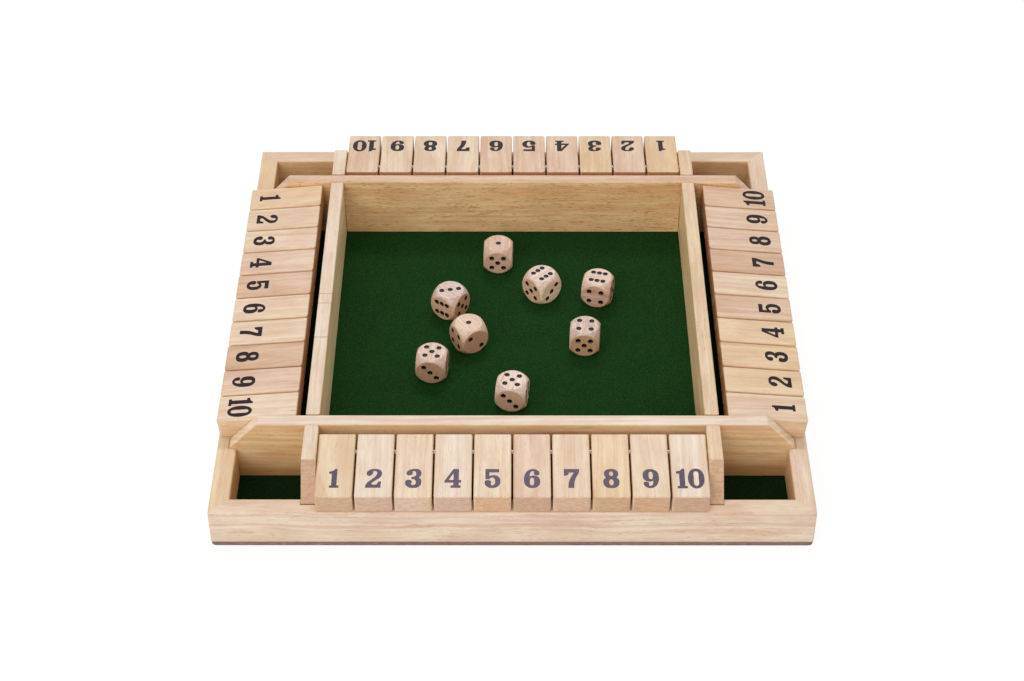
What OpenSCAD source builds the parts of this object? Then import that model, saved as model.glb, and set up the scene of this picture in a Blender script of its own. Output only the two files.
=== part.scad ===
// Shut the box for four players: a square wooden tray with a bank of ten hinged number tiles on
// each side. The origin is the centre of the underside, +Z is up and the front is towards -Y.

/* [Box] */
// Outer side of the square frame
box_w = 300; // [280:1:330]
// Thickness of the board under the frame
board_t = 2.7; // [2:0.1:3.5]
// Radius of the board's corners
board_corner = 2.5; // [1:0.5:4]
// Thickness of the felt sheet
felt_t = 0.8; // [0.5:0.1:1.2]

/* [Outer rails] */
// Thickness of a rail
rail_t = 10; // [9:0.5:12]
// Height of the rails' top above the table
rail_top = 23; // [21:0.1:24]
// Rounding of a rail's upper edges and of the frame's corners
rail_round = 1.1; // [0.5:0.1:1.5]
// Depth of the housing that holds a wall's end
housing = 4.5; // [3:0.5:6]

/* [Inner walls] */
// Thickness of an inner wall
wall_t = 7.2; // [6:0.1:8]
// Height of the walls' top above the table
wall_top = 39.5; // [38:0.1:42]
// Length of the slope at each end of a wall
slope = 15; // [10:0.5:18]
// Rounding of a wall's upper edges
wall_round = 0.7; // [0.4:0.1:1.2]
// Gap on each side of a cross lap
lap_gap = 0.3; // [0.1:0.05:0.4]
// Rounding of a crossing wall's corners beside a lap
lap_round = 1.2; // [0.4:0.1:2]
// Gap between a wall's end and the back of its housing
end_gap = 0.9; // [0.2:0.1:1.2]
// Gap on each side of a wall in its housing
housing_gap = 0.25; // [0.1:0.05:0.4]

/* [Number tiles] */
// Tiles in a bank
tile_count = 10; // [9, 10, 12]
// Length of a tile
tile_l = 41; // [38:0.5:44]
// Thickness of a tile
tile_t = 11.5; // [10.5:0.1:12]
// Length of a tile behind its axle
heel = 9.7; // [8.5:0.1:11]
// Depth of the axle's centre below a tile's face
axle_depth = 3.2; // [2.8:0.1:4]
// Gap between two tiles
tile_gap = 0.9; // [0.4:0.1:1.5]
// Gap between a bank and the wall ends beside it
side_gap = 0.4; // [0.3:0.05:1.2]
// Room between a turning tile's heel and the inner wall
heel_gap = 1.53; // [1:0.01:3]
// Rounding of a tile's long and cross edges
tile_round = 0.8; // [0.4:0.1:1.2]
// Rounding of a tile's four upright corners
tile_corner = 1.6; // [0.5:0.1:2]
// Rounding of a tile's lower heel edge, which swings past the inner wall
heel_round = 2.5; // [1:0.1:4]
// Gap left under a tile that lies on its rail
rest_gap = 0.05; // [0.02:0.01:0.2]

/* [Axles] */
// Diameter of the steel axle rods
rod_d = 3; // [2.5:0.5:3]
// Gap round an axle in a tile's bore
bore_gap = 0.08; // [0.05:0.01:0.1]
// Height of an axle's centre below the walls' top
rod_drop = 5.5; // [5:0.1:6]
// Depth of the blind hole that holds an axle's end
rod_seat = 4; // [3:0.5:5]

/* [Dice] */
// Edge of a die between two opposite faces
die_w = 16.3; // [15:0.1:18]
// Diameter of the ball that rounds a die's corners, as a share of its edge
die_ball = 1.35; // [1.25:0.01:1.45]
// Diameter of a pip
pip_d = 2.9; // [2:0.1:3.2]
// Depth of a pip
pip_depth = 0.7; // [0.4:0.1:1]
// Distance of a corner pip from the face's centre lines, as a share of the edge
pip_shift = 0.205; // [0.18:0.005:0.22]

/* [Hidden] */
SIDES = ["front", "right", "back", "left"];

// Straight pieces that stand for the arc of a rounded corner
corner_steps = 3;
// How much narrower the felt is than the frame's opening
felt_play = 0.2;
// Extra length with which a cut passes its face
past = 1;
round_fn = 48;

half = box_w / 2;
felt_top = board_t + felt_t;
well_edge = half - rail_t;
wall_end = well_edge + housing - end_gap;

// The axles lie one tile's reach in from the outer faces, and the walls just clear the heels.
reach = tile_l - heel;
axle_r = half - reach;
axle_z = wall_top - rod_drop;
bottom_depth = tile_t - axle_depth;
heel_sweep = norm([heel, bottom_depth]);
wall_out = axle_r - heel_sweep - heel_gap;
wall_mid = wall_out - wall_t / 2;
tray_half = wall_out - wall_t;
lap_z = (felt_top + wall_top) / 2;

tile_pitch = (2 * tray_half - 2 * side_gap + tile_gap) / tile_count;
tile_w = tile_pitch - tile_gap;

// A tile slopes outwards until its lower outer edge, an arc, meets the rail's top.
edge_out = reach - tile_round;
edge_down = bottom_depth - tile_round;
edge_fall = axle_z - tile_round - rail_top - rest_gap;
tile_tilt = asin(edge_fall / norm([edge_out, edge_down])) - atan2(edge_down, edge_out);

// Where each die lies on the felt: x, y, its turn, and the rotation that brings its faces up.
DICE = [
    [-8.1, 66.0, -2.5, [0, 0, 180]],
    [-34.6, 24.8, -34.2, [0, -90, -90]],
    [-23.9, -3.1, 29.9, [0, 0, 0]],
    [-43.2, -27.0, -6.8, [90, 0, -90]],
    [-0.1, -49.3, -9.9, [90, 0, -90]],
    [16.5, 38.9, -47.5, [180, 0, 0]],
    [48.0, 36.0, -13.6, [180, 0, 90]],
    [39.7, -5.0, -4.7, [0, 90, 180]]
];

// Pips of each face on a grid from -1 to 1, and the rotation that carries the face there from the top.
DIE_FACES = [
    [[0, 0, 0], [[0, 0]]],
    [[90, 0, 0], [[-1, 1], [1, -1]]],
    [[90, 0, 90], [[-1, -1], [0, 0], [1, 1]]],
    [[90, 0, -90], [[-1, -1], [1, -1], [-1, 1], [1, 1]]],
    [[90, 0, 180], [[-1, -1], [1, -1], [0, 0], [-1, 1], [1, 1]]],
    [[180, 0, 0], [[-1, -1], [-1, 0], [-1, 1], [1, -1], [1, 0], [1, 1]]]
];

// One corner of an outline, replaced by an arc of radius r
function corner_arc(before, corner, after, r) =
    let (
        u = (before - corner) / norm(before - corner),
        v = (after - corner) / norm(after - corner),
        half_angle = acos(u * v) / 2,
        centre = corner + (u + v) / norm(u + v) * r / sin(half_angle),
        start = corner + u * r / tan(half_angle) - centre,
        first = atan2(start[1], start[0]),
        turn = (cross(u, v) < 0 ? 1 : -1) * (180 - 2 * half_angle)
    )
    [for (i = [0:corner_steps])
        let (angle = first + turn * i / corner_steps)
        centre + r * [cos(angle), sin(angle)]];

// An outline with each corner rounded by its own radius, or left sharp where that is 0
function rounded(points, radii) =
    let (n = len(points))
    [for (i = [0:n - 1])
        each (radii[i] == 0 ? [points[i]]
            : corner_arc(points[(i + n - 1) % n], points[i], points[(i + 1) % n], radii[i]))];

function rectangle(x0, x1, y0, y1) = [[x0, y0], [x1, y0], [x1, y1], [x0, y1]];

function square_outline(half_side, r) =
    rounded(rectangle(-half_side, half_side, -half_side, half_side), [r, r, r, r]);

// A profile of outward distance and height, run along X on the front side
module along_side(length) {
    rotate([90, 0, -90])
        linear_extrude(height = length, center = true)
            children();
}

// A profile of X and height, run along Y and centred on y = 0
module along_depth(length) {
    rotate([90, 0, 0])
        linear_extrude(height = length, center = true)
            children();
}

// The front rail, mitred at both ends, with the two housings for the side walls
module rail() {
    color("burlywood")
        difference() {
            intersection() {
                along_side(box_w)
                    polygon(rounded(rectangle(well_edge, half, board_t, rail_top),
                        [0, 0, rail_round, rail_round]));
                linear_extrude(height = rail_top)
                    polygon(square_outline(half, rail_round));
                linear_extrude(height = rail_top)
                    polygon([[-half, -half], [half, -half], [well_edge, -well_edge],
                        [-well_edge, -well_edge]]);
            }
            for (side = [-1, 1])
                translate([side * wall_mid, 0, 0])
                    housing_cut();
        }
}

module housing_cut() {
    width = wall_t + 2 * housing_gap;
    translate([-width / 2, -well_edge - housing, board_t - past])
        cube([width, housing + past, rail_top - board_t + 2 * past]);
}

// A plain wall along X: upright ends in the housings, then a slope up to the top edge
module wall_blank() {
    side_outline = rounded(
        [[-wall_end, felt_top], [wall_end, felt_top], [wall_end, rail_top],
            [wall_end - slope, wall_top], [slope - wall_end, wall_top], [-wall_end, rail_top]],
        [0, 0, 0, 2 * wall_round, 2 * wall_round, 0]);
    intersection() {
        along_depth(wall_t)
            polygon(side_outline);
        along_side(2 * wall_end)
            polygon(rounded(rectangle(-wall_t / 2, wall_t / 2, felt_top, wall_top),
                [0, 0, wall_round, wall_round]));
    }
}

// Blind holes that hold the axles' ends, on the faces that look at the tray's middle line
module axle_seats() {
    for (side = [-1, 1])
        translate([side * axle_r, wall_t / 2 - rod_seat, axle_z])
            rotate([-90, 0, 0])
                cylinder(d = rod_d, h = rod_seat + past, $fn = round_fn);
}

// The cut of both cross laps from z_low to z_high, with corners that leave the wall's own rounded by r
module lap_cut(z_low, z_high, r) {
    width = wall_t + 2 * lap_gap;
    for (side = [-1, 1])
        translate([side * wall_mid, 0, z_low])
            linear_extrude(height = z_high - z_low)
                difference() {
                    square([width + 2 * r, wall_t + 2 * past], center = true);
                    for (end = [-1, 1])
                        translate([end * (width + wall_t) / 2, 0])
                            polygon(square_outline(wall_t / 2, r));
                }
}

// The front wall: its laps are cut from below, so its top edge runs through
module through_wall() {
    color("burlywood")
        translate([0, -wall_mid, 0])
            difference() {
                wall_blank();
                lap_cut(felt_top - past, lap_z, 0);
                axle_seats();
            }
}

// The right wall: its laps are cut from above, and the front and back walls drop into them
module crossing_wall() {
    color("burlywood")
        rotate(90)
            translate([0, -wall_mid, 0])
                difference() {
                    wall_blank();
                    lap_cut(lap_z, wall_top + past, lap_round);
                    axle_seats();
                }
}

module base_board() {
    color("saddlebrown")
        linear_extrude(height = board_t)
            polygon(square_outline(half, board_corner));
}

module felt_sheet() {
    color("darkgreen")
        translate([0, 0, board_t])
            linear_extrude(height = felt_t)
                square(2 * well_edge - felt_play, center = true);
}

module hinge_rods() {
    length = 2 * (tray_half + rod_seat);
    color("silver")
        for (turn = [0:90:270])
            rotate(turn)
                translate([-length / 2, -axle_r, axle_z])
                    rotate([0, 90, 0])
                        cylinder(d = rod_d, h = length, $fn = round_fn);
}

// A tile round its axle, which runs along X, with its outer end towards -Y
module tile() {
    r = tile_round;
    c = tile_corner;
    difference() {
        intersection() {
            along_side(tile_w)
                polygon(rounded(rectangle(-heel, reach, -bottom_depth, axle_depth),
                    [heel_round, r, r, r]));
            along_depth(2 * tile_l)
                polygon(rounded(rectangle(-tile_w / 2, tile_w / 2, -bottom_depth, axle_depth),
                    [r, r, r, r]));
            linear_extrude(height = 2 * tile_t, center = true)
                polygon(rounded(rectangle(-tile_w / 2, tile_w / 2, -reach, heel), [c, c, c, c]));
        }
        rotate([0, 90, 0])
            cylinder(d = rod_d + 2 * bore_gap, h = tile_w + 2 * past, center = true, $fn = round_fn);
    }
}

// Tile number one lies at the left of its own player, who reads the bank from outside the box.
module placed_tile(number) {
    color("wheat")
        translate([(number - (tile_count + 1) / 2) * tile_pitch, -axle_r, axle_z])
            rotate([tile_tilt, 0, 0])
                tile();
}

module pip() {
    ball_r = (pow(pip_d / 2, 2) + pow(pip_depth, 2)) / (2 * pip_depth);
    translate([0, 0, die_w / 2 - pip_depth + ball_r])
        sphere(r = ball_r, $fn = round_fn);
}

module die() {
    difference() {
        intersection() {
            cube(die_w, center = true);
            sphere(d = die_w * die_ball, $fn = round_fn);
        }
        for (face = DIE_FACES)
            rotate(face[0])
                for (spot = face[1])
                    translate(spot * pip_shift * die_w)
                        pip();
    }
}

module placed_die(place) {
    color("bisque")
        translate([place[0], place[1], felt_top + die_w / 2])
            rotate(place[2])
                rotate(place[3])
                    die();
}

for (i = [0:3]) rotate(90 * i) rail();
through_wall();  // front_wall
rotate(180) through_wall();  // back_wall
crossing_wall();  // right_wall
rotate(180) crossing_wall();  // left_wall
base_board();
felt_sheet();
hinge_rods();
for (i = [0:3]) for (number = [1:tile_count])
    rotate(90 * i) placed_tile(number);
for (i = [0:len(DICE) - 1])
    placed_die(DICE[i]);
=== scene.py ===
"""A shut the box game for four players.

Box and number tiles of pale rubberwood, green felt, steel axles and wooden dice.
"""

import math
import random

import bmesh
import bpy
from mathutils import Euler, Matrix, Vector, noise


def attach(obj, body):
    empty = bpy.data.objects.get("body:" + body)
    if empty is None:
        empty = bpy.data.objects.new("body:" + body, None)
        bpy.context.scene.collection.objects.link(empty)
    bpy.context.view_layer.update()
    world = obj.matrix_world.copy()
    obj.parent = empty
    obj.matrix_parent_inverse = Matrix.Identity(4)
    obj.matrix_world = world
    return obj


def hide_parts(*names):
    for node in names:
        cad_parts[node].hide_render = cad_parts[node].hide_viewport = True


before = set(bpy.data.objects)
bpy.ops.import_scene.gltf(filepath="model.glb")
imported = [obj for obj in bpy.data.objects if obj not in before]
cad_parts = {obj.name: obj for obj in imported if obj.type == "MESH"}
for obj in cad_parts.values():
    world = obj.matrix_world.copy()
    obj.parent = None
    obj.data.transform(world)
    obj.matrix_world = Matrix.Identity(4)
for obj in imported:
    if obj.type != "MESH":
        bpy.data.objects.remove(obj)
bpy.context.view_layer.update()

MM = 0.001
SIDES = ("front", "right", "back", "left")
TILE_COUNT = 10

# Sizes in millimetres, as in the part's source
TILE_PITCH = 19.45
TILE_REACH = 31.3
TILE_TILT = math.radians(5.04)
AXLE_R = 118.7
AXLE_Z = 34.0
AXLE_DEPTH = 3.2
FELT_SIDE = 279.8
FELT_BOTTOM = 2.7
FELT_TOP = 3.5
DIE_W = 16.3
DIE_BALL_R = 11.0
PIP_R = 1.45
PIP_DEPTH = 0.7
PIP_SHIFT = 3.34
WALL_T = 7.2
WALL_MID = 100.8
# A wall's end and the back of its housing, from the box's middle
WALL_END = 143.6
HOUSING_END = 144.5

# Wood filler behind a wall's end: how much wider than the wall it is on each side, its top's
# height, how deep it goes, and the crown and the lumps of its top
FILLER_MARGIN = 0.2
FILLER_TOP = 22.72
FILLER_DEPTH = 5.0
FILLER_CROWN = 0.12
FILLER_LUMPS = 0.10

# Where each die lies: x, y, its turn, and the rotation that brings its faces up
DICE = (
    (-8.1, 66.0, -2.5, (0, 0, 180)),
    (-34.6, 24.8, -34.2, (0, -90, -90)),
    (-23.9, -3.1, 29.9, (0, 0, 0)),
    (-43.2, -27.0, -6.8, (90, 0, -90)),
    (-0.1, -49.3, -9.9, (90, 0, -90)),
    (16.5, 38.9, -47.5, (180, 0, 0)),
    (48.0, 36.0, -13.6, (180, 0, 90)),
    (39.7, -5.0, -4.7, (0, 90, 180)),
)
# Cuts along an edge of a die's mesh, the angle from which its edges stay sharp, and how softly its
# flat faces pass into the ball around it
DIE_CUTS = 52
DIE_SHARP = 35
DIE_BLEND = 0.18 * 0.22

# The rotation that carries a face there from the top, and its pips on a grid from -1 to 1
DIE_FACES = (
    ((0, 0, 0), ((0, 0),)),
    ((90, 0, 0), ((-1, 1), (1, -1))),
    ((90, 0, 90), ((-1, -1), (0, 0), (1, 1))),
    ((90, 0, -90), ((-1, -1), (1, -1), (-1, 1), (1, 1))),
    ((90, 0, 180), ((-1, -1), (1, -1), (0, 0), (-1, 1), (1, 1))),
    ((180, 0, 0), ((-1, -1), (-1, 0), (-1, 1), (1, -1), (1, 0), (1, 1))),
)

# Each die's kind of wood, and factors of painted light and shade for its top and for its sides: the
# tops bluer, as if glossed by light from above, and the sides lighter on some dice and darker on
# others
DIE_WOODS = (
    ("tan", (0.94, 0.94, 1.00), (1.22, 1.30, 1.48)),
    ("tan", (0.94, 1.05, 1.35), (1.08, 0.99, 0.94)),
    ("tan", (1.03, 1.07, 1.14), (0.97, 0.92, 0.88)),
    ("russet", (1.09, 1.23, 1.48), (0.88, 0.92, 0.97)),
    ("tan", (1.11, 1.29, 1.52), (1.30, 1.48, 1.74)),
    ("cream", (0.96, 0.97, 1.12), (1.32, 1.29, 1.32)),
    ("tan", (1.07, 1.15, 1.30), (1.08, 1.03, 1.08)),
    ("russet", (0.96, 1.12, 1.41), (1.09, 1.11, 1.09)),
)

# Outlines of the digits in hundredths of their height, from their foot to their head. A tilde marks
# a smooth point, and the others are corners. The nine is the six turned half round.
DIGIT_FOOT = -1
DIGIT_HEAD = 100
DIGITS = {
    "0": (
        "~31,100.5 ~62,50 ~31,-0.5 ~0,50",
        "~31,88.5 ~41.5,50 ~31,11.5 ~20.5,50",
    ),
    "1": (
        "3,0 40,0 40,10 31,10 31,100 23,100 ~18,93 ~11,88.5 ~3,86.5 0,86 0,77 3,76 11.5,76"
        " 11.5,10 3,10",
    ),
    "2": (
        "~3,74 ~13,64 ~25,74 ~27,80 ~27.5,88 ~34,91 ~43,88 ~45.8,79.5 ~40.6,62 ~22,42 ~6,24"
        " 0,10 0,0 60,0 61.5,32 52,32 ~48,22 ~42.7,15 ~34,14 20,19 ~28,30.5 ~47,46 ~60,60"
        " ~64,77 ~56,94 ~34,100 ~13,94",
    ),
    "3": (
        "~34,100 ~56,95.5 ~63.5,80 ~60,63 52,54.5 ~60.5,46 ~64,28 ~56,7 ~32,-1 ~8,7 ~0,26"
        " ~3.5,38 ~12.5,41 ~23,37 ~25.5,29 ~22,21 ~27,14 ~34,12.5 ~41,18 ~43.5,29 ~40.5,41"
        " ~34,46.5 25,47 25,56 ~33,57.5 ~41,63.5 ~44,75 ~41,86 ~34,90.5 ~27.5,88 ~27,82"
        " ~26,72 ~16,67 ~6.5,71 ~4.5,80 ~14,93.5",
    ),
    "4": (
        "0,28 0,36 35,100 56,100 56,40 66,40 66,28 56,28 56,11 64,11 64,0 25,0 25,11 36,11"
        " 36,28",
        "14,40 36.5,40 36.5,81",
    ),
    "5": (
        "4,100 58,100 58,83.5 18,83.5 18,61 ~28,65.5 ~39,67 ~56,58 ~63.5,34 ~54,8 ~32,-1 ~9,7"
        " ~1,26 ~4,37 ~13,40 ~23,36 ~26,28 ~23.5,20 ~27,13 ~33.5,11 ~41,18 ~43.5,34 ~40.5,49"
        " ~33,56 ~25,54 18,46 4,46",
    ),
    "6": (
        "~0,46 ~4,72 ~14,90 ~34,100 ~52,94 ~61,81 ~59.5,70.5 ~50.5,67.5 ~42,72 ~41,80 ~41,87"
        " ~35,90 ~27,86 ~22.5,75 22,58 ~30,63.5 ~41,64.5 ~57,56 ~64,34 ~57,9 ~33,-1 ~8,11",
        "~31.5,54.5 ~41.5,33 ~31.5,11 ~22,33",
    ),
    "7": (
        "0,100 60.5,100 60.5,85 ~56,73 ~46,50 ~40.5,25 39,0 17.5,0 ~19,22 ~25,48 ~34,67 41,83"
        " 20,83 ~17.5,76 ~12,68.5 ~6,66 0,66",
    ),
    "8": (
        "~31,100 ~51,94.5 ~59,76.5 ~56.5,63 50.5,54.5 ~60,45 ~63,27 ~54,6 ~31,-1 ~8,6 ~-1,27"
        " ~2,45 11.5,54.5 ~5.5,63 ~3,76.5 ~11,94.5",
        "~31,89 ~40,75.5 ~31,62 ~22,75.5",
        "~31,46 ~41.5,29 ~31,12 ~20.5,29",
    ),
}
DIGIT_WIDTHS = {
    "0": 62, "1": 42, "2": 64, "3": 64, "4": 66, "5": 64, "6": 64, "7": 61, "8": 62, "9": 64,
}
DIGIT_GAP = 3
# Millimetres to one unit of an outline, across and up, and how far the ink spreads past it
DIGIT_UNIT = (0.1205, 0.1175)
INK_SPREAD = 0.13
# The ten is cut a little larger than the single digits
TEN_SCALE = 1.05
# From a tile's outer end to the middle of its number
NUMBER_PLACES = {"front": 11.9, "right": 11.9, "back": 11.9, "left": 11.4}
# The ink stands this far above a tile's face, and goes as far below it
INK_RISE = 0.03

# Each kind of plank: its pale and its dark tone as sRGB bytes
WOODS = {
    "chalk": ((239, 223, 204), (223, 198, 174)),
    "cream": ((237, 216, 190), (219, 189, 158)),
    "honey": ((235, 210, 174), (216, 182, 140)),
    "straw": ((233, 211, 180), (214, 184, 146)),
    "rose": ((232, 207, 182), (213, 177, 149)),
    "tan": ((227, 197, 169), (205, 167, 136)),
    "russet": ((220, 186, 157), (197, 157, 127)),
    "rail": ((234, 213, 188), (216, 185, 156)),
}
# How strongly a kind of piece shows its pores and its fibres, and how glossy its lacquer is
TILE_PORES = 0.31
RAIL_PORES = 0.27
DIE_PORES = 0.85
WALL_PORES = {"front": 0.22, "right": 0.38, "back": 0.72, "left": 0.32}
TILE_FIBRES = 0.85
DIE_FIBRES = 2.2
WALL_FIBRES = {"front": 0.65, "right": 1.00, "back": 1.35, "left": 1.00}
WOOD_GLOSS = 0.5
DIE_GLOSS = 0.9
# How far a face's normal points along the grain where the face is all end grain, and how much less
# where the end grain begins
END_GRAIN = 0.95
SIDE_WALL_END_GRAIN = 0.70
END_GRAIN_BLEND = 0.15
# How far the normal points the way of a stain, painted light or painted shade where it begins, and
# where it is full
STAIN_START = 0.55
STAIN_FULL = 0.90
# A plank comes from a place in the figure up to this many metres away, and its grain leans by an
# angle whose spread is this many degrees
PLANK_SPREAD = 1.5
GRAIN_LEAN = 1.2
# Where a plank lies from the trunk's middle, how many growth rings there are to a millimetre, and
# how far in millimetres the grain wanders
HEART = (38.0, 0.0, 61.0)
RINGS = 0.45
GRAIN_WANDER = 9.0

# Each wall's kind of wood, and factors of red, green and blue for its two broad faces: painted
# light that makes the back and side walls' faces lighter and warmer than their tops, and painted
# warm shade that makes the front wall's faces more amber
WALL_WOODS = {
    "front": ("chalk", (1.01, 0.85, 0.58)),
    "right": ("straw", (1.20, 1.18, 0.99)),
    "back": ("tan", (1.24, 1.20, 0.88)),
    "left": ("chalk", (1.13, 1.12, 0.81)),
}
# Factors for the slopes at the front wall's ends, and at one end of the left wall
WALL_SLOPES = {"front": (1.15, 1.08, 0.90), "left": (0.80, 0.67, 0.50)}
# Where the left wall's staves are glued end to end, and how far these lines waver
LEFT_WALL_JOINTS = (-2.1, -10.0, -37.6)
JOINT_WAVER = 1.2
# Painted shade on the front wall's outer face starts at this height and is full at the felt
SHADE_FOOT_TOP = 20.0
SHADE_FOOT_FULL = 3.5
# The rails' kinds of wood, and factors for their faces: painted warm shade on the inner faces, and
# painted light on the outer faces
RAIL_WOODS = {"front": "rail", "right": "rail", "back": "rail", "left": "honey"}
RAIL_INNER_SHADE = (1.00, 0.88, 0.66)
RAIL_OUTER_LIGHT = (1.05, 1.08, 1.13)
# Factors of painted warm shade for the tiles' sides, and of deeper painted shade for their ends
# beside the inner wall
TILE_SIDE_SHADE = (0.94, 0.86, 0.72)
TILE_HEEL_SHADE = {
    "front": (0.80, 0.66, 0.52),
    "right": (0.74, 0.58, 0.44),
    "back": (0.76, 0.61, 0.45),
    "left": (0.78, 0.61, 0.46),
}
# Factors for the outer ends of some front tiles
FRONT_TILE_ENDS = {
    1: (1.00, 1.04, 1.08),
    3: (1.13, 1.27, 1.40),
    5: (1.11, 1.05, 0.96),
    7: (1.06, 1.08, 1.10),
    9: (1.02, 0.96, 0.87),
    10: (0.92, 0.85, 0.82),
}
# A bank's kinds of wood, from tile 1 to tile 10
TILE_WOODS = {
    "front": "straw chalk cream chalk cream rose cream honey cream chalk",
    "right": "cream honey honey honey tan cream russet rose rose tan",
    "back": "honey rose honey rose rose rose cream cream cream rose",
    "left": "honey cream cream rose tan cream cream russet rose cream",
}

# Each piece of wood has its own seed, counted on from these
RAIL_SEED = 10
WALL_SEED = 20
TILE_SEED = 100
TILE_SEEDS_PER_SIDE = 20
DIE_SEED = 900

# The felt's mesh: squares along its side, how far its face lies below the CAD's on average, and its
# lumps as the frequency of a noise, per metre, and its height
FELT_GRID = 200
FELT_SINK = 0.06
FELT_LUMPS = ((120, 0.05), (620, 0.04))
# Painted shade makes the felt darker outside the walls, in the wells and under the tile banks. The
# change begins and ends this far from the box's middle.
FELT_INSIDE = 99.0
FELT_OUTSIDE = 102.0

# The studio, in metres. Each softbox has its place, size and brightness, and looks at the part.
LAMP_TARGET = (0.0, 0.0, 0.02)
SOFTBOXES = {
    "softbox_back": ((0.0, 1.15, 1.75), (0.75, 0.35), 12.4),
    "softbox_front": ((-0.85, -2.0, 1.55), (2.0, 1.6), 2.7),
}
WHITE = (1.0, 1.0, 1.0, 1.0)
AMBIENT_TINT = (1.0, 0.99, 0.98, 1.0)
AMBIENT_STRENGTH = 0.60
# How much light the floor sends back, and how it is seen: its own glow and the shadows on it
FLOOR_BOUNCE = 0.82
FLOOR_GLOW = 0.84
FLOOR_SHADING = 0.20
# From the floor's middle to its edges, and how far in millimetres it lies below the part
FLOOR_REACH = 4.0
FLOOR_DROP = 0.2

# The photograph's camera: its place in metres, its turn in degrees, its lens and sensor in
# millimetres, and how far it sees in metres
CAMERA_PLACE = (0.00036, -0.85640, 0.75865)
CAMERA_TURN = (48.61, 0.0, 0.04)
LENS = 72.76
SENSOR = 36.0
CAMERA_SIGHT = 20.0


def srgb(red, green, blue):
    """A colour for a shader socket from sRGB bytes."""
    def linear(value):
        value /= 255
        return value / 12.92 if value <= 0.04045 else ((value + 0.055) / 1.055) ** 2.4
    return (linear(red), linear(green), linear(blue), 1.0)


def turned(euler_degrees):
    """A rotation matrix from Euler angles in degrees."""
    return Euler([math.radians(a) for a in euler_degrees]).to_matrix().to_4x4()


class Graph:
    """Adds nodes to a node tree. An input is a value or another node's output."""

    def __init__(self, tree):
        self.tree = tree
        tree.nodes.clear()

    def add(self, kind, inputs=None, **settings):
        made = self.tree.nodes.new(kind)
        for name, value in settings.items():
            setattr(made, name, value)
        for name, value in (inputs or {}).items():
            socket = made.inputs[name]
            if isinstance(value, bpy.types.NodeSocket):
                self.tree.links.new(value, socket)
            else:
                socket.default_value = value
        return made

    def math(self, operation, a, b=0.0, clamp=False):
        inputs = {0: a, 1: b}
        return self.add("ShaderNodeMath", inputs, operation=operation, use_clamp=clamp).outputs[0]

    def scaled(self, value, factor, start):
        """A value times a factor, added to start."""
        inputs = {0: value, 1: factor, 2: start}
        return self.add("ShaderNodeMath", inputs, operation="MULTIPLY_ADD").outputs[0]

    def vector(self, operation, a, b=(0.0, 0.0, 0.0)):
        """The result of vector maths, which is a number for a length or a dot product."""
        made = self.add("ShaderNodeVectorMath", {0: a, 1: b}, operation=operation)
        return made.outputs["Value" if operation in ("LENGTH", "DOT_PRODUCT") else "Vector"]

    def split(self, vector):
        """The x, y and z of a vector."""
        return self.add("ShaderNodeSeparateXYZ", {0: vector}).outputs

    def noise(self, place, stretch, detail=2.0, roughness=0.5, output=0):
        """Noise from 0 to 1 on coordinates multiplied by stretch."""
        stretched = self.vector("MULTIPLY", place, stretch)
        inputs = {"Vector": stretched, "Scale": 1.0, "Detail": detail, "Roughness": roughness}
        return self.add("ShaderNodeTexNoise", inputs).outputs[output]

    def step(self, value, low, high, to_low=0.0, to_high=1.0):
        """A smooth step of value from low to high."""
        inputs = {
            "Value": value,
            "From Min": low,
            "From Max": high,
            "To Min": to_low,
            "To Max": to_high,
        }
        made = self.add("ShaderNodeMapRange", inputs, interpolation_type="SMOOTHSTEP")
        return made.outputs[0]

    def place(self):
        """The shared coordinates in millimetres, which stay with each piece."""
        inputs = {0: self.add("ShaderNodeTexCoord").outputs["Object"], "Scale": 1 / MM}
        return self.add("ShaderNodeVectorMath", inputs, operation="SCALE").outputs[0]

    def normal(self):
        return self.add("ShaderNodeTexCoord").outputs["Normal"]

    def mix(self, amount, a, b, blend="MIX"):
        inputs = {0: amount, 6: a, 7: b}
        return self.add("ShaderNodeMix", inputs, data_type="RGBA", blend_type=blend).outputs[2]

    def stained(self, color, factors):
        """A colour with its red, green and blue multiplied by factors."""
        return self.mix(1.0, color, (*factors, 1.0), "MULTIPLY")


def new_material(name):
    """An empty material and the graph that fills it."""
    material = bpy.data.materials.new(name)
    material.use_nodes = True
    return material, Graph(material.node_tree)


def finish_material(graph, inputs):
    """Ends a graph in a Principled shader with these inputs."""
    shader = graph.add("ShaderNodeBsdfPrincipled", inputs)
    graph.add("ShaderNodeOutputMaterial", {"Surface": shader.outputs[0]})


def bumped(graph, height, distance_mm, strength):
    """A normal for a height from 0 to 1 that stands for this many millimetres."""
    inputs = {"Height": height, "Distance": distance_mm * MM, "Strength": strength}
    return graph.add("ShaderNodeBump", inputs).outputs[0]


def dashes(g, grain, spacing, least, most):
    """Thin spindles along the grain, from 0 to 1, of varied length and one to a cell."""
    inputs = {"Vector": g.vector("MULTIPLY", grain, spacing), "Scale": 1.0, "Randomness": 1.0}
    cells = g.add("ShaderNodeTexVoronoi", inputs)
    chance = g.add("ShaderNodeSeparateColor", {0: cells.outputs["Color"]}).outputs[0]
    reach = g.scaled(chance, most - least, least)
    share = g.math("DIVIDE", cells.outputs["Distance"], reach)
    return g.step(g.math("SUBTRACT", 1.0, share, clamp=True), 0.0, 0.6)


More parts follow.
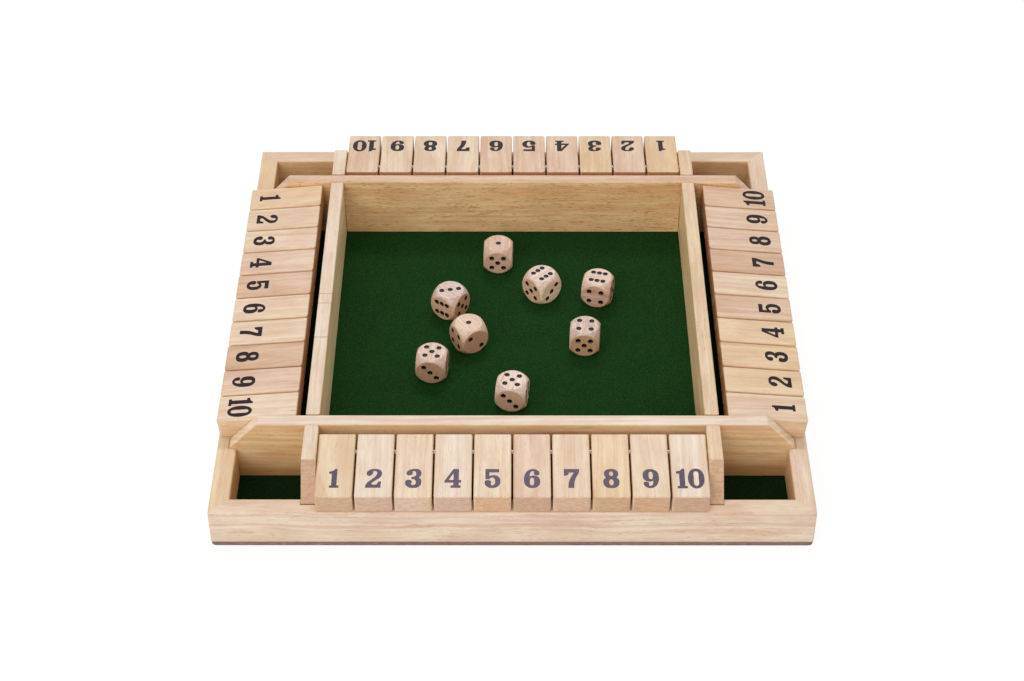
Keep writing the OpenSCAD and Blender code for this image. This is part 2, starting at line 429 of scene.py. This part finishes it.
def wood_grain():
    """The figure of rubberwood: growth bands, fibres, and open pores along a plank's local Y.

    Across and Along tell how far a face looks towards the plank's own x and y.
    """
    group = bpy.data.node_groups.new("wood_grain", "ShaderNodeTree")
    inputs = {
        "Place": "Vector",
        "Turn": "Vector",
        "Pale": "Color",
        "Dark": "Color",
        "Pores": "Float",
        "Slant": "Float",
        "Fibres": "Float",
    }
    outputs = {
        "Color": "Color",
        "Roughness": "Float",
        "Height": "Float",
        "Across": "Float",
        "Along": "Float",
    }
    for way, sockets in (("INPUT", inputs), ("OUTPUT", outputs)):
        for name, kind in sockets.items():
            group.interface.new_socket(name, in_out=way, socket_type="NodeSocket" + kind)
    g = Graph(group)
    given = g.add("NodeGroupInput").outputs
    where = g.add("ShaderNodeTexCoord").outputs

    def in_plank(inputs):
        inputs["Rotation"] = given["Turn"]
        return g.add("ShaderNodeMapping", inputs, vector_type="TEXTURE").outputs[0]

    plank = in_plank({
        "Vector": where["Object"],
        "Location": given["Place"],
        "Scale": (MM, MM, MM),
    })
    facing = g.split(in_plank({"Vector": where["Normal"]}))
    along = g.math("ABSOLUTE", facing[1])
    end = g.step(along, g.math("SUBTRACT", given["Slant"], END_GRAIN_BLEND), given["Slant"])
    # Bands and pores show more on a plank's broad faces
    broad = g.scaled(g.math("ABSOLUTE", facing[0]), 1.3, 1.0)

    # The plank's grain wanders a little from its length
    wander = g.noise(plank, (0.022, 0.009, 0.022), output="Color")
    wander = g.vector("SUBTRACT", wander, (0.5, 0.5, 0.5))
    wander = g.vector("MULTIPLY", wander, (GRAIN_WANDER, 0.0, GRAIN_WANDER))
    grain = g.vector("ADD", plank, wander)

    # Growth bands are parts of wide rings round the trunk's middle
    from_heart = g.vector("ADD", grain, HEART)
    radius = g.vector("LENGTH", g.vector("MULTIPLY", from_heart, (1.0, 0.0, 1.0)))
    rings = {"W": g.math("MULTIPLY", radius, RINGS), "Scale": 1.0, "Detail": 4.0, "Roughness": 0.6}
    bands = g.add("ShaderNodeTexNoise", rings, noise_dimensions="1D").outputs[0]
    cloud = g.noise(plank, (0.09, 0.03, 0.09), detail=3.0, roughness=0.6)
    tone = g.math("ADD", g.math("MULTIPLY", bands, 0.8), g.math("MULTIPLY", cloud, 0.9))
    color = g.mix(g.step(tone, 0.60, 1.10), given["Pale"], given["Dark"])

    # Patches turn towards pink, towards straw, and on the broad faces towards orange
    blush = g.noise(plank, (0.16, 0.035, 0.16))
    color = g.mix(g.step(blush, 0.52, 0.75, 0.0, 0.25), color, srgb(222, 178, 156))
    color = g.mix(g.step(blush, 0.48, 0.25, 0.0, 0.22), color, srgb(238, 210, 162))
    flame = g.noise(grain, (0.22, 0.014, 0.22), detail=3.0, roughness=0.6)
    flame = g.math("MULTIPLY", g.step(flame, 0.50, 0.68, 0.0, 0.18), broad)
    color = g.mix(flame, color, srgb(208, 148, 112))

    # A few long lines follow the rings
    line = g.noise(grain, (0.75, 0.010, 0.75), detail=1.0)
    color = g.mix(g.step(line, 0.64, 0.74, 0.0, 0.38), color, srgb(204, 150, 128))

    # Fibres, coarse and fine
    streaks = g.noise(grain, (1.5, 0.055, 1.5), detail=3.0, roughness=0.65)
    fibres = g.noise(grain, (3.6, 0.16, 3.6), roughness=0.6)
    dark_fibre = g.mix(0.6, given["Dark"], srgb(170, 118, 82))
    for figure, low, high, strength, fibre in (
        (streaks, 0.46, 0.70, 0.20, dark_fibre),
        (fibres, 0.45, 0.72, 0.18, dark_fibre),
        (streaks, 0.46, 0.28, 0.17, srgb(246, 232, 214)),
    ):
        amount = g.step(figure, low, high, 0.0, strength)
        amount = g.math("MULTIPLY", amount, given["Fibres"], clamp=True)
        color = g.mix(amount, color, fibre)

    # Open pores show as short dark dashes in loose rows
    rows = g.step(g.noise(grain, (0.30, 0.03, 0.30)), 0.36, 0.60, 0.30, 1.0)
    short = dashes(g, grain, (1.35, 0.24, 1.35), 0.12, 0.46)
    long = dashes(g, grain, (0.80, 0.075, 0.80), 0.06, 0.34)
    dash = g.math("MULTIPLY", g.math("MAXIMUM", short, long), rows)
    dash = g.math("MULTIPLY", g.math("MULTIPLY", dash, given["Pores"]), broad, clamp=True)
    color = g.mix(dash, color, g.stained(color, (0.72, 0.55, 0.39)))

    # The end grain drinks more lacquer
    end_tone = g.mix(0.45, given["Dark"], srgb(194, 143, 104))
    mottle = g.noise(plank, (0.32, 0.9, 1.2), detail=3.0, roughness=0.65)
    end_tone = g.mix(g.step(mottle, 0.40, 0.62, 0.0, 0.42), end_tone, srgb(164, 112, 78))
    end_tone = g.mix(g.step(streaks, 0.50, 0.30, 0.0, 0.35), end_tone, srgb(232, 200, 168))
    color = g.mix(g.math("MULTIPLY", end, 0.85), color, end_tone)

    pits = g.math("MULTIPLY", dash, 0.3)
    g.add("NodeGroupOutput", {
        "Color": color,
        "Roughness": g.scaled(streaks, 0.22, 0.36),
        "Height": g.math("SUBTRACT", g.math("MULTIPLY", fibres, 0.35), pits),
        "Across": facing[0],
        "Along": facing[1],
    })


def wood(
    name, kind, turn, seed, pores,
    fibres=1.0, stains_and_light=None, end_grain=END_GRAIN, gloss=WOOD_GLOSS, extra=None,
):
    """Lacquered wood with its own piece of the figure.

    Turn is the plank's rotation, with its grain along local Y. Its face factors, for real stains
    and for painted light and shade, go to the faces that look towards +x, -x, +y or -y of the
    plank.
    Faces that lie across the grain, from end_grain on, take the end grain's tone. Extra is a
    function
    that works more into the colour: glue lines, or painted light and shade.
    """
    pale, dark = WOODS[kind]
    chance = random.Random(seed)
    material, g = new_material(name)
    figure = g.add("ShaderNodeGroup", node_tree=bpy.data.node_groups["wood_grain"])
    place = [chance.uniform(-PLANK_SPREAD, PLANK_SPREAD) for _ in range(3)]
    lean = math.radians(chance.gauss(0.0, GRAIN_LEAN))
    for socket, value in {
        "Place": place,
        "Turn": (turn[0], turn[1], turn[2] + lean),
        "Pale": srgb(*pale),
        "Dark": srgb(*dark),
        "Pores": pores,
        "Slant": end_grain,
        "Fibres": fibres,
    }.items():
        figure.inputs[socket].default_value = value
    color = figure.outputs["Color"]
    # Real stains, and painted light and shade, on the faces that look one way
    for way, factors in (stains_and_light or {}).items():
        facing = figure.outputs["Along" if way[1] == "y" else "Across"]
        toward = g.math("MULTIPLY", facing, -1.0 if way[0] == "-" else 1.0)
        amount = g.step(toward, STAIN_START, STAIN_FULL)
        color = g.mix(amount, color, g.stained(color, factors))
    if extra:
        color = extra(g, color)
    finish_material(g, {
        "Base Color": color,
        "Roughness": figure.outputs["Roughness"],
        "Specular IOR Level": gloss,
        "Normal": bumped(g, figure.outputs["Height"], 0.05, 0.5),
    })
    return material


def finger_joints(g, color):
    """Thin glue lines across the left wall's top, where its staves meet."""
    waver = g.math("MULTIPLY", g.noise(g.place(), (0.5, 0.5, 0.5)), JOINT_WAVER)
    length = g.math("ADD", g.split(g.place())[1], waver)
    up = g.split(g.normal())[2]
    for joint in LEFT_WALL_JOINTS:
        # The noise lies round a half
        away = g.math("ABSOLUTE", g.math("SUBTRACT", length, joint + JOINT_WAVER / 2))
        line = g.math("MULTIPLY", g.step(away, 0.20, 0.55, 0.60, 0.0), up, clamp=True)
        color = g.mix(line, color, srgb(184, 130, 98))
    return color


def dusty_foot(g, color):
    """Painted shade: the front wall's outer face grows darker towards the felt of its wells."""
    low = g.step(g.split(g.place())[2], SHADE_FOOT_TOP, SHADE_FOOT_FULL)
    outer = g.step(g.split(g.normal())[1], -0.5, -0.9)
    return g.mix(g.math("MULTIPLY", low, outer), color, g.stained(color, (0.58, 0.49, 0.36)))


def die_faces(up, top, sides):
    """Painted light and shade: factors for a die's top, which looks towards up in the die's own
    frame, and for the rest.
    """
    def tone(g, color):
        # Painted light on the top, and painted light and shade on the sides
        toward = g.step(g.vector("DOT_PRODUCT", g.normal(), tuple(up)), 0.15, 0.70)
        return g.mix(toward, g.stained(color, sides), g.stained(color, top))
    return tone


def felt_cloth():
    """Short dense green felt: matted fibres with a soft sheen, and painted shade outside the walls.
    """
    material, g = new_material("felt")
    place = g.place()
    nap = g.noise(place, (0.05, 0.05, 0.05), detail=3.0)
    mottle = g.noise(place, (0.42, 0.42, 0.42), detail=3.0, roughness=0.7)
    fuzz = g.noise(place, (1.5, 1.5, 1.5), detail=4.0, roughness=0.75)
    color = g.mix(g.step(nap, 0.3, 0.7), srgb(9, 40, 8), srgb(13, 47, 11))
    color = g.mix(g.step(mottle, 0.35, 0.70, 0.0, 0.40), color, srgb(20, 60, 18))
    color = g.mix(g.step(fuzz, 0.45, 0.62, 0.0, 0.75), color, srgb(34, 80, 32))
    # Painted shade on the felt outside the walls
    away = g.split(g.vector("ABSOLUTE", place))
    outside = g.step(g.math("MAXIMUM", away[0], away[1]), FELT_INSIDE, FELT_OUTSIDE)
    color = g.mix(outside, color, g.stained(color, (0.50, 0.42, 0.45)))
    finish_material(g, {
        "Base Color": color,
        "Roughness": 0.95,
        "Specular IOR Level": 0.10,
        "Sheen Weight": 0.02,
        "Sheen Roughness": 0.6,
        "Sheen Tint": srgb(120, 170, 110),
        "Normal": bumped(g, fuzz, 0.25, 0.8),
    })
    return material


def hardboard():
    """Brown pressed fibres, lighter where the saw has nicked the edge."""
    material, g = new_material("hardboard")
    place = g.place()
    fibres = g.noise(place, (0.35, 0.35, 2.2), detail=4.0, roughness=0.7)
    nicks = g.noise(place, (0.12, 0.12, 0.9), detail=3.0, roughness=0.8)
    color = g.mix(g.step(fibres, 0.3, 0.7), srgb(120, 94, 84), srgb(150, 122, 110))
    color = g.mix(g.step(nicks, 0.58, 0.70, 0.0, 0.7), color, srgb(206, 182, 160))
    finish_material(g, {
        "Base Color": color,
        "Roughness": 0.8,
        "Normal": bumped(g, fibres, 0.15, 0.7),
    })
    return material


def wood_filler():
    """Dried glue mixed with sawdust."""
    material, g = new_material("wood_filler")
    grit = g.noise(g.place(), (2.4, 2.4, 2.4), detail=3.0, roughness=0.7)
    finish_material(g, {
        "Base Color": g.mix(g.step(grit, 0.35, 0.65), srgb(186, 148, 116), srgb(214, 180, 148)),
        "Roughness": 0.7,
        "Normal": bumped(g, grit, 0.05, 0.6),
    })
    return material


def drawn_steel():
    """Bright drawn rod with fine lines."""
    material, g = new_material("drawn_steel")
    lines = g.noise(g.place(), (1.8, 1.8, 6.0), detail=3.0, roughness=0.6)
    finish_material(g, {
        "Base Color": g.mix(lines, srgb(128, 122, 118), srgb(164, 158, 152)),
        "Metallic": 1.0,
        "Roughness": g.scaled(lines, 0.25, 0.25),
        "Normal": bumped(g, lines, 0.02, 0.4),
    })
    return material


def printing_ink():
    """Soft black ink with a violet gloss, a little thinner over the wood's fibres."""
    material, g = new_material("printing_ink")
    thin = g.noise(g.place(), (1.6, 1.6, 1.6), detail=3.0, roughness=0.6)
    finish_material(g, {
        "Base Color": g.mix(g.step(thin, 0.35, 0.75), srgb(18, 8, 7), srgb(28, 15, 13)),
        "Roughness": 0.24,
        "Specular IOR Level": 0.235,
        "Specular Tint": (0.885, 0.71, 1.0, 1.0),
        "Normal": bumped(g, thin, 0.03, 0.5),
    })
    return material


def pip_paint():
    """Glossy black paint in the dice's pips."""
    material, g = new_material("pip_paint")
    thin = g.noise(g.place(), (2.0, 2.0, 2.0))
    finish_material(g, {
        "Base Color": g.mix(thin, srgb(6, 4, 3), srgb(12, 8, 6)),
        "Roughness": 0.32,
        "Specular IOR Level": 0.42,
        "Specular Tint": (0.95, 0.86, 1.0, 1.0),
        "Normal": bumped(g, thin, 0.03, 0.5),
    })
    return material


def dress(node, material):
    """Gives a node of the CAD this material alone."""
    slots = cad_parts[node].data.materials
    slots.clear()
    slots.append(material)


def digit_outlines(text):
    """The outlines of a number, centred on its middle: loops of (x, y, smooth)."""
    width = sum(DIGIT_WIDTHS[c] for c in text) + DIGIT_GAP * (len(text) - 1)
    left, loops = -width / 2, []
    for digit in text:
        for outline in DIGITS["6" if digit == "9" else digit]:
            loop = []
            for point in outline.split():
                x, y = (float(v) for v in point.strip("~").split(","))
                if digit == "9":
                    x, y = DIGIT_WIDTHS["9"] - x, DIGIT_FOOT + DIGIT_HEAD - y
                loop.append((x + left, y - DIGIT_HEAD / 2, point.startswith("~")))
            loops.append(loop)
        left += DIGIT_WIDTHS[digit] + DIGIT_GAP
    return loops


def add_object(name, mesh, *materials):
    """A new object in the scene, with these materials in its mesh's slots."""
    for material in materials:
        mesh.materials.append(material)
    made = bpy.data.objects.new(name, mesh)
    bpy.context.scene.collection.objects.link(made)
    return made


def evaluated_mesh(holder):
    """The mesh that an object's curve or modifiers come to."""
    depsgraph = bpy.context.evaluated_depsgraph_get()
    return bpy.data.meshes.new_from_object(holder.evaluated_get(depsgraph))


def finished_mesh(name, bm):
    """A mesh of what a bmesh holds. It frees the bmesh."""
    mesh = bpy.data.meshes.new(name)
    bm.to_mesh(mesh)
    bm.free()
    return mesh


def smoothed(mesh, sharp_degrees):
    """Shades a mesh smooth, but for the edges that turn by more than this."""
    mesh.polygons.foreach_set("use_smooth", [True] * len(mesh.polygons))
    mesh.set_sharp_from_angle(angle=math.radians(sharp_degrees))
    return mesh


def close_below(bm, bottom):
    """Closes an open grid with walls down to bottom and a flat underside."""
    edges = [e for e in bm.edges if e.is_boundary]
    skirt = bmesh.ops.extrude_edge_only(bm, edges=edges)["geom"]
    for vert in (v for v in skirt if isinstance(v, bmesh.types.BMVert)):
        vert.co.z = bottom
    bmesh.ops.contextual_create(bm, geom=[e for e in bm.edges if e.is_boundary])
    bmesh.ops.recalc_face_normals(bm, faces=bm.faces)


def number_mesh(text):
    """A printed number as a thin slab in metres, upright in the XY plane."""
    curve = bpy.data.curves.new("outline", "CURVE")
    curve.dimensions = "2D"
    curve.fill_mode = "BOTH"
    curve.resolution_u = 8
    curve.extrude = INK_RISE * MM
    curve.offset = INK_SPREAD * MM
    for loop in digit_outlines(text):
        spline = curve.splines.new("BEZIER")
        spline.use_cyclic_u = True
        spline.bezier_points.add(len(loop) - 1)
        for point, (x, y, smooth) in zip(spline.bezier_points, loop):
            point.co = (x * DIGIT_UNIT[0] * MM, y * DIGIT_UNIT[1] * MM, 0)
            handle = "AUTO" if smooth else "VECTOR"
            point.handle_left_type = point.handle_right_type = handle
    holder = bpy.data.objects.new("outline", curve)
    bpy.context.scene.collection.objects.link(holder)
    mesh = evaluated_mesh(holder)
    bpy.data.objects.remove(holder)
    bpy.data.curves.remove(curve)
    return mesh


def print_numbers(ink):
    """Each number lies on its tile's face and reads upright from outside the box."""
    for i, side in enumerate(SIDES):
        number_y = NUMBER_PLACES[side] - TILE_REACH
        for number in range(1, TILE_COUNT + 1):
            x = (number - (TILE_COUNT + 1) / 2) * TILE_PITCH
            place = (
                Matrix.Rotation(math.radians(90 * i), 4, "Z")
                @ Matrix.Translation(Vector((x, -AXLE_R, AXLE_Z)) * MM)
                @ Matrix.Rotation(TILE_TILT, 4, "X")
                @ Matrix.Translation(Vector((0, number_y, AXLE_DEPTH)) * MM)
            )
            mesh = number_mesh(str(number))
            if number == TILE_COUNT:
                mesh.transform(Matrix.Scale(TEN_SCALE, 4))
            mesh.transform(place)
            printed = add_object(f"{side}_number_{number}", mesh, ink)
            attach(printed, f"{side}_tile_{number}")


def ball_and_cube(ray):
    """How far along a ray, in millimetres, it leaves a die's cube cut by its ball.

    The edge between the two is blended.
    """
    low, high = 0.0, DIE_BALL_R * 1.2
    for _ in range(30):
        middle = (low + high) / 2
        over = [abs(c) * middle - DIE_W / 2 for c in ray] + [middle - DIE_BALL_R]
        if sum(math.exp(o / DIE_BLEND) for o in over) > 1.0:
            high = middle
        else:
            low = middle
    return low


def die_blank():
    """A cube cut by a ball, with softened edges, in metres."""
    bm = bmesh.new()
    bmesh.ops.create_cube(bm, size=2)
    bmesh.ops.subdivide_edges(bm, edges=bm.edges, cuts=DIE_CUTS, use_grid_fill=True)
    for vert in bm.verts:
        # Spread the grid evenly over the ball, then draw each point in to the cube's faces
        ray = Vector([math.tan(c * math.pi / 4) for c in vert.co]).normalized()
        vert.co = ray * ball_and_cube(ray) * MM
    return finished_mesh("die", bm)


def pip_cutters():
    """The balls that cut the pips of all six faces."""
    radius = (PIP_R ** 2 + PIP_DEPTH ** 2) / (2 * PIP_DEPTH)
    height = DIE_W / 2 - PIP_DEPTH + radius
    bm = bmesh.new()
    for turn, spots in DIE_FACES:
        for x, y in spots:
            middle = Vector((x * PIP_SHIFT, y * PIP_SHIFT, height)) * MM
            bmesh.ops.create_uvsphere(
                bm, u_segments=32, v_segments=24, radius=radius * MM,
                matrix=turned(turn) @ Matrix.Translation(middle),
            )
    return finished_mesh("pips", bm)


def cut_die(pip_material):
    """A die's mesh, with blank wood in its first slot and paint in its pips."""
    blank = add_object("die_blank", die_blank(), bpy.data.materials.new("blank"))
    cutter = add_object("pips", pip_cutters(), pip_material)
    cut = blank.modifiers.new("pips", "BOOLEAN")
    cut.operation = "DIFFERENCE"
    cut.object = cutter
    cut.solver = "EXACT"
    cut.material_mode = "TRANSFER"
    mesh = smoothed(evaluated_mesh(blank), DIE_SHARP)
    bpy.data.objects.remove(blank)
    bpy.data.objects.remove(cutter)
    return mesh


def make_dice(pip_material):
    """Each die takes the place of the CAD's, with wood of its own."""
    mesh = cut_die(pip_material)
    for i, (x, y, turn, faces) in enumerate(DICE):
        name = f"die_{i + 1}"
        own = mesh.copy()
        # The grain lies level in every die
        grain_turn = math.pi / 2 if faces[0] == 90 else 0.0
        # Each die's kind of wood, with painted light and shade for its top and its sides
        kind, top, sides = DIE_WOODS[i]
        up = turned(faces).inverted().to_3x3() @ Vector((0, 0, 1))
        own.materials[0] = wood(
            f"{name}_wood", kind, (0, 0, grain_turn), DIE_SEED + i, DIE_PORES, DIE_FIBRES,
            gloss=DIE_GLOSS, extra=die_faces(up, top, sides),
        )
        die = add_object(f"{name}_dressed", own)
        middle = Vector((x, y, FELT_TOP + DIE_W / 2)) * MM
        die.matrix_world = Matrix.Translation(middle) @ turned((0, 0, turn)) @ turned(faces)
        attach(die, name)
        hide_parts(name)


def make_felt(material):
    """The felt lies flat on its board, with a matted face."""
    side = FELT_SIDE * MM
    bm = bmesh.new()
    bmesh.ops.create_grid(bm, x_segments=FELT_GRID, y_segments=FELT_GRID, size=side / 2)
    for vert in bm.verts:
        rise = sum(noise.noise(vert.co * rate) * height for rate, height in FELT_LUMPS)
        vert.co.z = (FELT_TOP - FELT_SINK + rise) * MM
    close_below(bm, FELT_BOTTOM * MM)
    felt = add_object("felt_lining", smoothed(finished_mesh("felt", bm), 50), material)
    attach(felt, "tray")
    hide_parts("felt_sheet")


def dress_frame():
    """Gives each rail, wall, tile, board and axle its material."""
    for i, side in enumerate(SIDES):
        across = (0, 0, math.radians(90 * i - 90))
        # A rail's inner face takes painted warm shade, its outer face painted light
        dress(f"{side}_rail", wood(
            f"{side}_rail_wood", RAIL_WOODS[side], across, RAIL_SEED + i, RAIL_PORES,
            stains_and_light={"-x": RAIL_INNER_SHADE, "+x": RAIL_OUTER_LIGHT},
        ))

        # A wall's broad faces take painted light and shade; the front wall's foot takes painted
        # shade
        kind, face = WALL_WOODS[side]
        stains_and_light = {"-x": face, "+x": face}
        if side == "front":
            stains_and_light.update({"+y": WALL_SLOPES[side], "-y": WALL_SLOPES[side]})
        elif side == "left":
            stains_and_light["+y"] = WALL_SLOPES[side]
        # Only the side walls' slopes are cut steeply enough to show their end grain
        end_grain = SIDE_WALL_END_GRAIN if side in ("left", "right") else END_GRAIN
        dress(f"{side}_wall", wood(
            f"{side}_wall_wood", kind, across, WALL_SEED + i, WALL_PORES[side], WALL_FIBRES[side],
            stains_and_light, end_grain, extra={"front": dusty_foot, "left": finger_joints}.get(side),
        ))

        lying = (TILE_TILT, 0, math.radians(90 * i))
        first_seed = TILE_SEED + TILE_SEEDS_PER_SIDE * i
        # A tile's sides and its heel end take painted shade
        stains_and_light = {"-x": TILE_SIDE_SHADE, "+x": TILE_SIDE_SHADE, "+y": TILE_HEEL_SHADE[side]}
        for number, kind in enumerate(TILE_WOODS[side].split(), 1):
            node = f"{side}_tile_{number}"
            own = dict(stains_and_light)
            if side == "front" and number in FRONT_TILE_ENDS:
                own["-y"] = FRONT_TILE_ENDS[number]
            dress(node, wood(
                f"{node}_wood", kind, lying, first_seed + number, TILE_PORES, TILE_FIBRES, own,
            ))
    dress("base_board", hardboard())
    dress("hinge_rods", drawn_steel())


def fill_housings(material):
    """Closes the gap behind each end of the front and back walls with wood filler.

    Its top is uneven and crowned.
    """
    length, width = HOUSING_END - WALL_END, WALL_T + 2 * FILLER_MARGIN
    for side, turn in (("front", 0.0), ("back", math.pi)):
        for hand, way in (("left", -1), ("right", 1)):
            bm = bmesh.new()
            bmesh.ops.create_grid(bm, x_segments=8, y_segments=24, size=0.5)
            middle = Vector((way * (WALL_END + HOUSING_END) / 2, -WALL_MID, 0))
            for vert in bm.verts:
                crown = FILLER_CROWN * (1 - (2 * vert.co.x) ** 2) * (1 - (2 * vert.co.y) ** 6)
                vert.co = Vector((vert.co.x * length, vert.co.y * width, 0)) + middle
                vert.co.z = FILLER_TOP + crown + FILLER_LUMPS * noise.noise(vert.co * 1.3)
            close_below(bm, FILLER_TOP - FILLER_DEPTH)
            place = Matrix.Rotation(turn, 4, "Z") @ Matrix.Scale(MM, 4)
            bmesh.ops.transform(bm, matrix=place, verts=bm.verts)
            mesh = smoothed(finished_mesh("filler", bm), 40)
            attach(add_object(f"{side}_wall_filler_{hand}", mesh, material), "tray")


def softbox(name, place, size, brightness):
    """A soft rectangular lamp that looks at the part.

    Its power gives its face the same brightness at any size.
    """
    width, height = size
    lamp = bpy.data.lights.new(name, "AREA")
    lamp.shape = "RECTANGLE"
    lamp.size = width
    lamp.size_y = height
    lamp.energy = brightness * math.pi * width * height
    holder = bpy.data.objects.new(name, lamp)
    holder.location = place
    look = Vector(LAMP_TARGET) - Vector(place)
    holder.rotation_euler = look.to_track_quat("-Z", "Y").to_euler()
    holder.visible_camera = False
    bpy.context.scene.collection.objects.link(holder)


def in_sight(g):
    """1 for rays of the camera, through glass or off gloss, and 0 for those that gather light."""
    ray = g.add("ShaderNodeLightPath").outputs
    seen = g.math("ADD", ray["Is Camera Ray"], ray["Is Transmission Ray"])
    return g.math("ADD", seen, ray["Is Glossy Ray"], clamp=True)


def shown(g, hidden, visible):
    """A shader that looks like visible and sends out light like hidden."""
    shaders = {0: in_sight(g), 1: hidden.outputs[0], 2: visible.outputs[0]}
    return g.add("ShaderNodeMixShader", shaders).outputs[0]


def studio():
    """A white room with light from all round, two softboxes and a white floor."""
    world = bpy.data.worlds.new("studio")
    bpy.context.scene.world = world
    world.use_nodes = True
    g = Graph(world.node_tree)
    inputs = {"Color": AMBIENT_TINT, "Strength": AMBIENT_STRENGTH}
    ambient = g.add("ShaderNodeBackground", inputs)
    white = g.add("ShaderNodeBackground", {"Color": WHITE, "Strength": 1.0})
    g.add("ShaderNodeOutputWorld", {"Surface": shown(g, ambient, white)})

    for name, (place, size, brightness) in SOFTBOXES.items():
        softbox(name, place, size, brightness)

    material, g = new_material("floor")
    plain, shaded = (
        g.add("ShaderNodeBsdfDiffuse", {"Color": (grey, grey, grey, 1.0)})
        for grey in (FLOOR_BOUNCE, FLOOR_SHADING)
    )
    glow = g.add("ShaderNodeEmission", {"Color": WHITE, "Strength": FLOOR_GLOW})
    lit = g.add("ShaderNodeAddShader", {0: shaded.outputs[0], 1: glow.outputs[0]})
    g.add("ShaderNodeOutputMaterial", {"Surface": shown(g, plain, lit)})
    bm = bmesh.new()
    bmesh.ops.create_grid(bm, x_segments=1, y_segments=1, size=FLOOR_REACH)
    floor = add_object("floor", finished_mesh("floor", bm), material)
    floor.location.z = -FLOOR_DROP * MM


def camera():
    """The photograph's own camera."""
    lens = bpy.data.cameras.new("camera")
    lens.lens = LENS
    lens.sensor_width = SENSOR
    lens.clip_end = CAMERA_SIGHT
    holder = bpy.data.objects.new("camera", lens)
    holder.location = CAMERA_PLACE
    holder.rotation_euler = [math.radians(angle) for angle in CAMERA_TURN]
    bpy.context.scene.collection.objects.link(holder)
    bpy.context.scene.camera = holder


camera()
studio()
wood_grain()
dress_frame()
make_felt(felt_cloth())
print_numbers(printing_ink())
fill_housings(wood_filler())
make_dice(pip_paint())

bpy.context.scene.view_settings.view_transform = "Standard"
